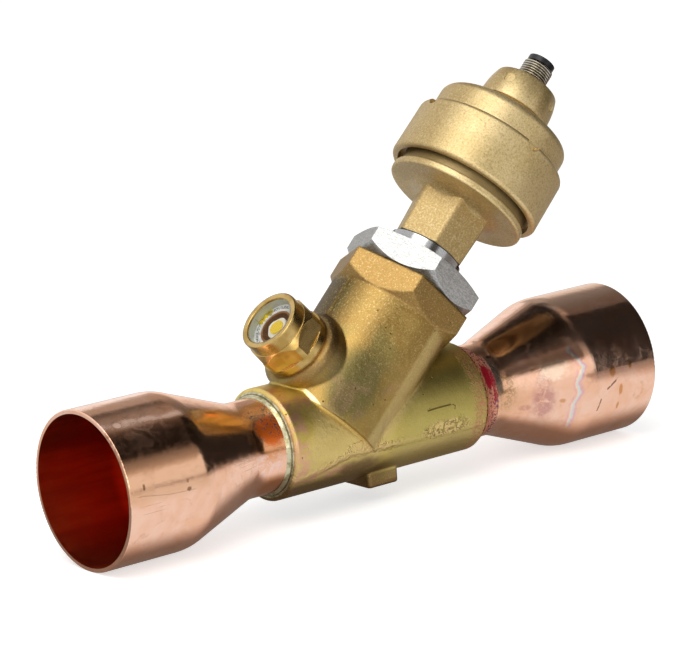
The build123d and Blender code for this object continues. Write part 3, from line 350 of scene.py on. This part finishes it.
def cast_brass():
    """Sand-cast brass: bright grain, olive bloom, pink heat stains and a rough parting line."""
    paint = Paint("cast_brass")
    x, turn = paint.x, paint.pipe_turn
    barrel = paint.pipe_radius.rise(BARREL_RADIUS + 0.5, BARREL_RADIUS - 0.3)
    grain = paint.noise(0.62, 2.0, 0.7)
    coarse = paint.noise(1.8, 3.0, 0.6)
    cloud = paint.noise(12.0, 4.0, 0.6, 0.8)
    broad = paint.noise(24.0, 2.0, 0.5, 0.6)

    # Slanted branch with painted shade on its front and its shoulder, pale barrel with its lower right
    # painted paler as light, and the rough welds between them
    branch = paint.mixed(rgb(172, 142, 80), rgb(152, 122, 64), cloud.rise(0.35, 0.7))
    branch = paint.mixed(branch, rgb(138, 126, 74), broad.rise(0.45, 0.62) * 0.7)
    # Painted shade: the front of the branch near its foot darker olive
    front = ((paint.rise_up - 17.0) / 15.0) ** 2.0 + ((paint.spindle_turn - 150.0) / 26.0) ** 2.0
    front = (front.math("SQRT") + (cloud - 0.5) * 1.2).rise(1.3, 0.6)
    branch = paint.mixed(branch, rgb(104, 96, 58), front * 0.9)
    # Painted shade: the upper shoulder of the branch toned down
    shoulder_shade = paint.spindle_turn.band(122.0, 14.0, 12.0) * paint.rise_up.rise(28.0, 36.0)
    branch = paint.mixed(branch, rgb(156, 126, 72), shoulder_shade * 0.8)
    branch = paint.mixed(branch, rgb(158, 126, 74), paint.rise_up.rise(50.5, 51.5) * 0.9)
    shell = paint.mixed(rgb(226, 202, 118), rgb(206, 180, 92), cloud.rise(0.35, 0.7))
    shell = paint.mixed(shell, rgb(182, 168, 96), x.rise(112.0, 130.0) * 0.8)
    # Painted light: the lower right of the barrel paler, as the floor's light on it
    shell = paint.mixed(shell, rgb(206, 186, 122), turn.rise(-18.0, -30.0) * x.rise(116.0, 130.0) * 0.8)
    base = paint.mixed(branch, shell, barrel)
    weld = paint.pipe_radius.rise(23.6, 21.0) * paint.spindle_radius.rise(26.0, 23.4)
    weld = weld * turn.rise(50.0, 30.0) * (0.45 + coarse)
    base = paint.mixed(base, rgb(214, 190, 132), weld.least(1.0) * 0.6)
    lip = paint.spindle_turn.band(-158.0, 9.0, 5.0) * paint.rise_up.band(25.0, 24.0, 4.0) * (1.0 - barrel)
    base = paint.mixed(base, rgb(200, 176, 116), lip * 0.55)

    # Heat stains, painted shade on the sides, the underside and round the sight glass's boss, and a painted
    # highlight along the crease
    pink = paint.spots(
        (80.0, 4.0, 3.4, 90.0, 1.2, 2.6, 0.4),
        (90.0, -31.0, 13.0, 7.0, 0.9, 4.0, 0.4),
        (86.0, 51.0, 5.0, 7.0, 0.8, 3.0, 0.4),
    )
    pink = pink * paint.noise(3.0, 3.0).rise(0.34, 0.56)
    base = paint.mixed(base, rgb(222, 172, 142), pink * 0.75)
    blush = cloud.rise(0.52, 0.4) * paint.rise_up.rise(34.0, 20.0) * (1.0 - barrel)
    base = paint.mixed(base, rgb(150, 118, 92), blush * 0.35)
    # Painted shade: the underside of the barrel and a patch under the branch's foot darker
    dark = turn.rise(-30.0, -44.0) * paint.pipe_radius.rise(25.5, 24.5) * x.rise(130.0, 116.0)
    dark = dark.most(paint.spot(107.0, -36.0, 10.0, 12.0, 0.7, 4.0, 0.5))
    base = paint.mixed(base, rgb(114, 88, 56), dark * 0.8)
    pad = paint.z.rise(-20.4, -21.0)
    base = paint.mixed(base, rgb(126, 98, 62), pad * 0.9)
    # Painted shade: one side of the branch, below the hex, dark
    side = paint.spindle_turn.band(58.0, 30.0, 22.0) * paint.rise_up.rise(53.0, 50.0)
    side = side * paint.rise_up.rise(16.0, 30.0)
    base = paint.mixed(base, rgb(84, 68, 38), side * (1.0 - barrel) * 0.95)
    # Painted shade: darker round the sight glass's boss, more towards its top
    sight_radius, _ = paint.sight_circle()
    boss_shade = sight_radius.rise(19.0, 16.2) * paint.off.rise(22.0, 24.0)
    base = paint.mixed(base, rgb(104, 80, 46), boss_shade * (0.35 + paint.rise_up.rise(16.0, 26.0) * 0.5))
    # Painted highlight: a bright line along the crease between barrel and branch
    crease_highlight = paint.pipe_radius.band(BARREL_RADIUS, 0.35, 0.2) * turn.band(28.0, 34.0, 6.0)
    crease_highlight = crease_highlight * x.rise(112.0, 107.0)
    base = paint.mixed(base, rgb(255, 236, 180), crease_highlight * 0.9)

    # Sand grain and pits, the parting line, a rough cast patch and pink speckle beside the outlet's braze
    sand = 0.25 + paint.rise_up.rise(18.0, 44.0) * (1.0 - barrel) * (1.0 - pad) * 0.4
    base = paint.mixed(base, rgb(244, 220, 164), grain.rise(0.54, 0.68) * 0.5 * sand)
    base = paint.mixed(base, rgb(110, 84, 44), grain.rise(0.46, 0.32) * 0.5 * sand)
    pits = paint.cells(3.0).rise(0.14, 0.05) * coarse.rise(0.5, 0.6)
    base = paint.mixed(base, rgb(84, 60, 30), pits * 0.7)
    parting = ((80.0, -31.0), (89.6, -24.4), (101.4, -14.4), (119.1, -16.3), (138.7, -17.2), (160.0, -19.5))
    seam = abs(turn - x.path(*parting) - (coarse - 0.5) * 9.0).rise(6.0, 0.8) * barrel
    seam = seam * (0.35 + x.band(108.0, 12.0, 8.0) * 0.65)
    seam = seam.most(paint.spot(107.5, -11.0, 7.0, 7.0, 1.5, 2.4, 0.2) * barrel * 0.8)
    base = paint.mixed(base, rgb(222, 192, 132), seam * paint.noise(1.3, 3.0).rise(0.36, 0.52) * 0.9)
    scribble = paint.spot(147.0, -13.5, 11.0, 9.0, 0.9, 4.0, 0.3) * barrel
    lines = abs(paint.noise(3.2, 3.0, 0.6, 1.2) - 0.5).rise(0.04, 0.01)
    bright = paint.noise(4.0, 3.0, 0.6, 1.0).rise(0.42, 0.52)
    base = paint.mixed(base, rgb(232, 204, 140), scribble * bright * 0.8)
    base = paint.mixed(base, rgb(112, 86, 50), scribble * lines * 0.7)
    band = x.rise(158.6, 162.0) * turn.band(0.0, 62.0, 12.0) * barrel
    speckle = paint.noise(0.8, 3.0, 0.65).rise(0.49, 0.55) * band
    base = paint.mixed(base, rgb(206, 138, 112), speckle * 0.85)

    # Flow direction: a sunk line with a hooked end
    line = abs(turn - x.path((138.0, 9.2), (143.0, 9.8), (149.0, 9.7))).rise(1.1, 0.35)
    hook = abs(x - turn.path((3.8, 150.6), (7.0, 151.1), (9.0, 150.0), (10.0, 148.6))).rise(0.4, 0.12)
    mark = (line * x.band(143.5, 5.4, 0.3)).most(hook * turn.band(7.0, 3.0, 0.4))
    base = paint.mixed(base, rgb(96, 80, 40), mark * 0.75)

    rough = 0.30 + grain * 0.16 + barrel * 0.05 + weld * 0.06 + speckle * 0.1 + scribble * 0.08
    height = grain * (0.1 - barrel * 0.06) + coarse * (0.05 - barrel * 0.03) + cloud * 0.2 - pits * 0.2
    height = height + weld * coarse * 0.12 + scribble * 0.06
    height = height + seam * (0.2 + coarse * 0.5) + speckle * 0.1 - mark * 0.22 - scribble * lines * 0.2
    return paint.finish(base, rough, height=height, bevel=1.2)


def blasted_brass():
    """Shot-blasted brass of the actuator's shells, with the neck painted darker as shade, painted shade on
    two sides, and the spigot painted dark olive as shade in its groove.
    """
    paint = Paint("blasted_brass")
    grain = paint.noise(0.7, 2.0, 0.7)
    cloud = paint.noise(14.0, 3.0, 0.5)
    base = paint.mixed(rgb(226, 202, 148), rgb(212, 186, 128), cloud.rise(0.35, 0.7))
    # Painted shade: the neck under the flange darker
    neck = paint.rise_up.rise(101.0, 99.0)
    base = paint.mixed(base, rgb(180, 152, 96), neck * 0.9)
    # Painted shade: darker sides of the shells, and one side of the gland
    right = abs(paint.spindle_turn).rise(162.0, 176.0) * paint.rise_up.rise(143.0, 146.0)
    shaded_sides = paint.spindle_turn.band(72.0, 24.0, 18.0).most(right) * (1.0 - neck)
    base = paint.mixed(base, rgb(184, 156, 100), shaded_sides * 0.8)
    base = paint.mixed(base, rgb(244, 228, 188), grain.rise(0.5, 0.7) * 0.4)
    base = paint.mixed(base, rgb(140, 114, 68), grain.rise(0.5, 0.3) * 0.45)
    # Painted shade: the spigot in the groove under the ring dark olive
    spigot = paint.rise_up.band(108.0, 4.5, 0.4) * paint.spindle_radius.rise(27.0, 26.4)
    base = paint.mixed(base, rgb(126, 104, 58), spigot * 0.85)
    dents = paint.cells(7.5).rise(0.07, 0.02) * paint.noise(12.0).rise(0.54, 0.6)
    base = paint.mixed(base, rgb(140, 108, 60), dents * 0.6)
    height = grain * 0.08 + paint.noise(2.4, 2.0) * 0.05 - dents * 0.15
    coat = {"Coat Weight": 0.35, "Coat Roughness": 0.4}
    return paint.finish(base, 0.42 + grain * 0.12, 0.82, height=height, bevel=0.35, **coat)


def turned_brass():
    """Bright turned brass of the sight glass body, with a painted greenish reflection of the glass in its
    bore.
    """
    paint = Paint("turned_brass")
    grain = paint.noise(0.3, 2.0, 0.5)
    rings = paint.noise(0.3, 1.0, 0.5, place=paint.joined(paint.off, 0.0, 0.0))
    radius, _ = paint.sight_circle()
    base = paint.mixed(rgb(202, 172, 110), rgb(180, 148, 84), paint.noise(5.0).rise(0.4, 0.65))
    # Painted reflection: the bore round the glass greyish green and less metallic
    bore = radius.rise(10.0, 9.7) * paint.off.rise(38.6, 39.0) * paint.off.rise(43.2, 42.9)
    base = paint.mixed(base, rgb(196, 200, 182), bore)
    crown = (1.0 - ((radius - 10.7) / 1.2) ** 2.0).most(0.0) * paint.off.rise(43.3, 43.6)
    height = rings * 0.012 + grain * 0.008 + crown * 0.4
    return paint.finish(base, 0.2 + grain * 0.08, 1.0 - bore * 0.6, height=height, bevel=0.3)


def plated_steel():
    """Zinc-plated union nut with a drawn grain."""
    paint = Paint("plated_steel")
    grain = paint.noise(0.45, 3.0, 0.7)
    lay = paint.joined(paint.spindle_turn / 5.0, paint.rise_up / 0.5, paint.y / 9.0)
    drawn = paint.noise(1.0, 2.0, 0.6, place=lay)
    base = paint.mixed(rgb(204, 204, 202), rgb(160, 160, 158), (grain * 0.6 + drawn * 0.4).rise(0.4, 0.6))
    return paint.finish(base, 0.34 + grain * 0.1, 0.88, height=grain * 0.03 + drawn * 0.012, bevel=0.25)


def thread_steel():
    """Plug thread: painted highlight on the crests and painted shade in the roots."""
    paint = Paint("thread_steel")
    # Painted highlight on the crests, painted shade in the roots
    lit_crest = paint.spindle_radius.rise(5.5, 5.82)
    return paint.finish(paint.mixed(rgb(70, 62, 52), rgb(206, 200, 184), lit_crest), 0.2)


def simple(name, colour, rough, metallic=0.0, size=0.5, depth=0.01, **more):
    """A plain surface with a fine grain in its roughness and height."""
    paint = Paint(name)
    grain = paint.noise(size, 2.0, 0.6)
    darker = tuple(value * 0.8 for value in colour[:3]) + (1.0,)
    return paint.finish(
        paint.mixed(colour, darker, grain.rise(0.4, 0.7)),
        rough + grain * 0.08,
        metallic,
        height=grain * depth,
        **more,
    )


def braze():
    """Braze fillets: a smooth double ring at the inlet, a rough stained one at the outlet."""
    paint = Paint("braze_filler")
    lump = paint.noise(2.4, 3.0, 0.6)
    ring = abs(paint.pipe_radius - 18.55 - (lump - 0.5) * 0.2).rise(0.22, 0.05)
    base = paint.mixed(rgb(206, 200, 168), rgb(150, 142, 100), lump.rise(0.4, 0.65))
    base = paint.mixed(base, rgb(110, 100, 66), ring * 0.6)
    right = paint.x.rise(MIDDLE_X, MIDDLE_X + 10.0)
    speckle = paint.noise(0.8, 3.0, 0.65)
    pink = paint.mixed(rgb(222, 148, 120), rgb(110, 48, 56), speckle.rise(0.52, 0.57))
    yellow = paint.noise(1.4, 2.0).rise(0.52, 0.6) * paint.x.rise(170.5, 167.5)
    pink = paint.mixed(pink, rgb(214, 190, 110), yellow)
    pink = paint.mixed(pink, rgb(176, 16, 40), paint.spot(170.9, 29.0, 2.0, 16.0, 0.8, 1.4, 0.12))
    height = lump * 0.05 - ring * (1.0 - right) * 0.25 + right * speckle * 0.3
    rough = 0.22 + lump * 0.1 + right * 0.2
    return paint.finish(paint.mixed(base, pink, right), rough, 1.0 - right * 0.35, height=height)


def scale_print():
    """Scale ring behind the window: a pale ring with a notched yellow field and grey marks."""
    paint = Paint("scale_print")
    radius, turn = paint.sight_circle()
    marks = paint.noise(0.42, 2.0, 0.6).rise(0.5, 0.54) * radius.band(8.3, 0.6, 0.1)
    wave = abs((turn / 11.0).math("FRACT") - 0.5) * 2.0
    yellow = turn.band(19.5, 22.5, 1.0) * (radius + wave).rise(8.0, 8.2)
    marks = marks * (1.0 - turn.band(19.5, 24.0, 1.0)) * 0.9
    base = paint.mixed(rgb(252, 252, 250), rgb(60, 62, 66), marks)
    base = paint.mixed(base, rgb(240, 208, 0), yellow)
    return paint.finish(base, 0.5, 0.0)


copper_paint = copper()
cast_paint = cast_brass()
blasted_paint = blasted_brass()
turned_paint = turned_brass()
plated_paint = plated_steel()
braze_paint = braze()
stainless = simple("stainless", rgb(176, 176, 176), 0.12, 1.0, 0.4, 0.004)
rubber = simple("black_rubber", rgb(22, 22, 22), 0.5)
white_plastic = simple("white_ptfe", rgb(220, 220, 214), 0.45)
black_plastic = simple("black_plastic", rgb(24, 24, 26), 0.35)
gold_pin = simple("contact_gold", rgb(226, 180, 100), 0.2, 1.0)
red_wire = simple("lead_wire", rgb(150, 30, 24), 0.45)
winding = simple("winding_copper", rgb(190, 100, 60), 0.3, 1.0)
yoke = simple("yoke_steel", rgb(160, 162, 164), 0.3, 1.0)
magnet = simple("dark_magnet", rgb(42, 42, 46), 0.4, 0.2)
gear_paint = simple("gear_brass", rgb(216, 174, 100), 0.22, 1.0)
bowl = simple("bowl_brown", rgb(150, 98, 40), 0.4, 0.35)
felt = simple("holder_white", rgb(252, 246, 230), 0.8, 0.0, 0.25, 0.05)
dot = simple("dot_yellow", rgb(255, 216, 56), 0.7, 0.0, 0.3, 0.03)
glass = simple("clear_glass", rgb(214, 222, 206), 0.03, 0.0, 1.0, 0.0, Alpha=0.02)

dress(copper_paint, "inlet_stub", "outlet_stub")
dress(cast_paint, "valve_body")
dress(blasted_paint, "actuator_base", "housing_cap", "housing_ring", "connector_gland")
dress(turned_paint, "sight_body", "sight_washer")
dress(plated_paint, "lock_nut")
dress(braze_paint, "inlet_braze", "outlet_braze")
dress(stainless, "seat_ring", "guide_sleeve", "screw_bearing", "lay_pin", "lower_bearing", "upper_bearing")
dress(stainless, "rotor_shaft", "lead_screw", "piston", "plug_nose", "guide_pin")
dress(rubber, "body_seal", "neck_seal", "cap_seal")
dress(white_plastic, "spindle_seal", "stator_spacer", "plug_seal", "slide_ring")
dress(black_plastic, "connector_insert")
dress(gold_pin, "plug_pins")
dress(red_wire, "motor_leads")
dress(winding, "coil_lower", "coil_upper")
dress(yoke, "gear_plate", "end_plate", "stator_lower", "stator_upper")
dress(magnet, "rotor_magnet")
dress(gear_paint, "motor_pinion", "lay_gear", "output_gear")
dress(bowl, "indicator_bowl")
dress(felt, "indicator_holder")
dress(dot, "moisture_dot")
dress(scale_print(), "label_ring")
dress(glass, "sight_window")


def spindle_point(radius, turn, height):
    """Scene point from a radius, a turn from +Y towards the sight glass and a height on the spindle."""
    side = radius * math.sin(turn)
    x = SPINDLE_X + (height - side) * TILT
    return Vector((x, radius * math.cos(turn), (height + side) * TILT)) * MM


def threaded_shell():
    """Plug shell with its real outside thread, in place of the plain one."""
    low, foot, high = 149.2, 155.4, 164.2
    outer, bore, collar, collar_height, neck = 5.9, 5.3, 7.8, 2.7, 6.2
    depth, pitch, steps, row_gap = 0.42, 1.0, 96, 0.1
    # Each row is a radius, a height, and 1 where the thread is cut into it
    rows = [(bore, low, 0), (collar, low, 0), (collar, low + collar_height, 0)]
    rows += [(neck, low + collar_height, 0), (neck, foot - 0.6, 0)]
    count = int((high - 0.4 - foot + 0.5) / row_gap)
    rows += [(outer, foot - 0.5 + row_gap * index, 1) for index in range(count + 1)]
    rows += [(outer - depth, high - 0.3, 0), (outer - depth - 0.12, high, 0), (bore, high, 0)]
    points, faces = [], []
    for radius, height, cut in rows:
        for step in range(steps):
            turn = 2 * math.pi * step / steps
            wave = abs(((height / pitch + step / steps) % 1.0) * 2 - 1)
            points.append(spindle_point(radius - cut * depth * wave, turn, height))
    for row in range(len(rows)):
        this_row, next_row = row * steps, (row + 1) % len(rows) * steps
        for step in range(steps):
            next_step = (step + 1) % steps
            faces.append((this_row + step, this_row + next_step, next_row + next_step, next_row + step))
    mesh = bpy.data.meshes.new("connector_thread")
    mesh.from_pydata(points, [], faces)
    mesh.materials.append(thread_steel())
    mesh.shade_smooth()
    piece = bpy.data.objects.new("connector_thread", mesh)
    bpy.context.collection.objects.link(piece)
    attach(piece, "valve")
    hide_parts("connector_shell")


threaded_shell()

# Studio: pale floor, white surroundings, soft lamps and dark cards that only metal reflects
scene = bpy.context.scene
scene.view_settings.view_transform = "Standard"
PICTURE_WIDTH = 698
FOCAL_PIXELS = 3412.668
SENSOR_WIDTH = 36.0

camera = bpy.data.objects.new("camera", bpy.data.cameras.new("camera"))
camera.data.sensor_width = SENSOR_WIDTH
camera.data.lens = FOCAL_PIXELS / PICTURE_WIDTH * SENSOR_WIDTH
camera.data.clip_start = 0.01
camera.matrix_world = Matrix(
    (
        (0.77446, 0.18419, -0.60521, -0.624654),
        (-0.62971, 0.13285, -0.76539, -0.942060),
        (-0.06058, 0.97387, 0.21887, 0.305415),
        (0.0, 0.0, 0.0, 1.0),
    )
)
bpy.context.collection.objects.link(camera)
scene.camera = camera

world = bpy.data.worlds.new("studio")
world.use_nodes = True
scene.world = world
world_tree = world.node_tree
background = world_tree.nodes["Background"]
rays = world_tree.nodes.new("ShaderNodeLightPath")
seen = (
    Field(rays.outputs["Is Camera Ray"])
    .most(Field(rays.outputs["Is Glossy Ray"]))
    .most(Field(rays.outputs["Is Transmission Ray"]))
)
world_tree.links.new((0.5 + seen * 0.5).socket, background.inputs["Strength"])
background.inputs["Color"].default_value = WHITE


def lamp(name, centre, size, facing, colour, power):
    """A soft rectangular lamp that faces a point."""
    light = bpy.data.lights.new(name, "AREA")
    light.shape = "RECTANGLE"
    light.size, light.size_y = size
    light.energy = power
    light.color = colour
    piece = bpy.data.objects.new(name, light)
    bpy.context.collection.objects.link(piece)
    turn = (Vector(facing) - Vector(centre)).to_track_quat("-Z", "Y").to_matrix().to_4x4()
    piece.matrix_world = Matrix.Translation(centre) @ turn


def card(name, corners, glow):
    """A flat card seen only in reflections; its glow is a level, or a function of the paint."""
    mesh = bpy.data.meshes.new(name)
    mesh.from_pydata(corners, [], [tuple(range(len(corners)))])
    paint = Paint(name)
    level = glow(paint) if callable(glow) else glow
    tint = paint.mixed(BLACK, (1.0, 0.86, 0.74, 1.0), level)
    shine = {"Specular IOR Level": 0.0, "Emission Color": tint, "Emission Strength": 1.0}
    mesh.materials.append(paint.finish(BLACK, 1.0, 0.0, **shine))
    piece = bpy.data.objects.new(name, mesh)
    piece.visible_camera = False
    piece.visible_diffuse = False
    piece.visible_transmission = False
    piece.visible_shadow = False
    bpy.context.collection.objects.link(piece)


def across_x(x, y, z):
    """Corners of an upright card across X, between two places in Y and two in Z."""
    return [(x, y[0], z[0]), (x, y[1], z[0]), (x, y[1], z[1]), (x, y[0], z[1])]


def across_y(y, x, z):
    """Corners of an upright card across Y, between two places in X and two in Z."""
    return [(x[0], y, z[0]), (x[1], y, z[0]), (x[1], y, z[1]), (x[0], y, z[1])]


def side_glow(paint):
    """Black, with a grey far upper corner."""
    return 0.01 + paint.z.rise(680.0, 820.0) * paint.y.path((-270.0, 0.03), (-150.0, 0.13), (30.0, 0.3))


def ceiling_glow(paint):
    """Black above the object, brighter towards the front and to the right."""
    front = ((-2700.0, 0.78), (-2070.0, 0.45), (-1290.0, 0.22), (-1000.0, 0.035), (-600.0, 0.01))
    right = ((-100.0, 0.0), (70.0, 0.38), (460.0, 0.28), (700.0, 0.12), (930.0, 0.06))
    return paint.y.path(*front) + paint.x.rise(640.0, 740.0) * paint.y.path(*right)


def back_glow(paint):
    """Grey, brighter far behind and bright in its lower far corner."""
    corner = paint.z.rise(520.0, 340.0) * paint.y.rise(520.0, 740.0)
    return paint.y.path((250.0, 0.12), (420.0, 0.15), (700.0, 0.24), (1000.0, 0.42)) + corner * 0.55


def far_glow(paint):
    """Pale below and dark above."""
    return paint.z.path((850.0, 0.5), (1000.0, 0.45), (1300.0, 0.26), (1550.0, 0.05))


middle = (0.13, 0.0, 0.05)
lamp("key", (-0.36, -0.34, 0.95), (0.8, 0.8), middle, (1.0, 0.98, 0.95), 4.9)
lamp("front", (-0.5, -1.5, 0.25), (1.2, 0.5), middle, (1.0, 1.0, 1.0), 3.0)
ceiling = [(-0.05, -2.9, 1.1), (2.0, -2.9, 1.1), (2.0, 1.0, 1.1), (0.4, 1.0, 1.1), (-0.05, -0.6, 1.1)]
card("side_card", across_x(0.6, (-0.53, 0.03), (-0.028, 1.1)), side_glow)
card("ceiling_card", ceiling, ceiling_glow)
card("front_card", across_y(-1.25, (-0.12, 0.66), (0.52, 1.1)), 0.1)
card("back_card", across_x(1.0, (0.04, 1.4), (0.08, 1.6)), back_glow)
card("far_card", across_y(1.4, (1.0, 0.6), (0.85, 1.7)), far_glow)
card("low_card", across_y(1.4, (0.85, 0.45), (-0.028, 0.33)), 0.3)

# Floor: white to the eye; in metal a warm grey, bright close in front of the valve and far behind it
FLOOR_HALF = 6.0
FLOOR_LEVEL = -0.02862
floor_corners = [
    (-FLOOR_HALF, -FLOOR_HALF, FLOOR_LEVEL),
    (FLOOR_HALF, -FLOOR_HALF, FLOOR_LEVEL),
    (FLOOR_HALF, FLOOR_HALF, FLOOR_LEVEL),
    (-FLOOR_HALF, FLOOR_HALF, FLOOR_LEVEL),
]
floor_mesh = bpy.data.meshes.new("floor")
floor_mesh.from_pydata(floor_corners, [], [(0, 1, 2, 3)])
floor_paint = Paint("pale_floor")
floor_rays = floor_paint.material.node_tree.nodes.new("ShaderNodeLightPath")
floor_mirrored = Field(floor_rays.outputs["Is Glossy Ray"])
floor_seen = Field(floor_rays.outputs["Is Camera Ray"])
floor_seen = floor_seen.most(Field(floor_rays.outputs["Is Transmission Ray"]))
near = floor_paint.x.path((280.0, 1.0), (310.0, 0.65), (340.0, 0.3), (420.0, 0.12))
near = floor_paint.y.rise(-15.5, -31.0) * near
back = floor_paint.y.rise(50.0, 160.0)
glow = floor_seen * 0.6 + floor_mirrored * (0.16 + near * 0.64 + back * 0.45)
warm = floor_paint.mixed(WHITE, (1.0, 0.78, 0.64, 1.0), (1.0 - near.most(back)) * floor_mirrored)
floor_colour = floor_paint.mixed((0.8, 0.8, 0.8, 1.0), (0.1, 0.1, 0.1, 1.0), floor_mirrored)
floor_shine = {"Emission Color": floor_paint.mixed(BLACK, warm, glow), "Emission Strength": 1.0}
floor_mesh.materials.append(floor_paint.finish(floor_colour, 0.9, 0.0, **floor_shine))
floor = bpy.data.objects.new("floor", floor_mesh)
bpy.context.collection.objects.link(floor)
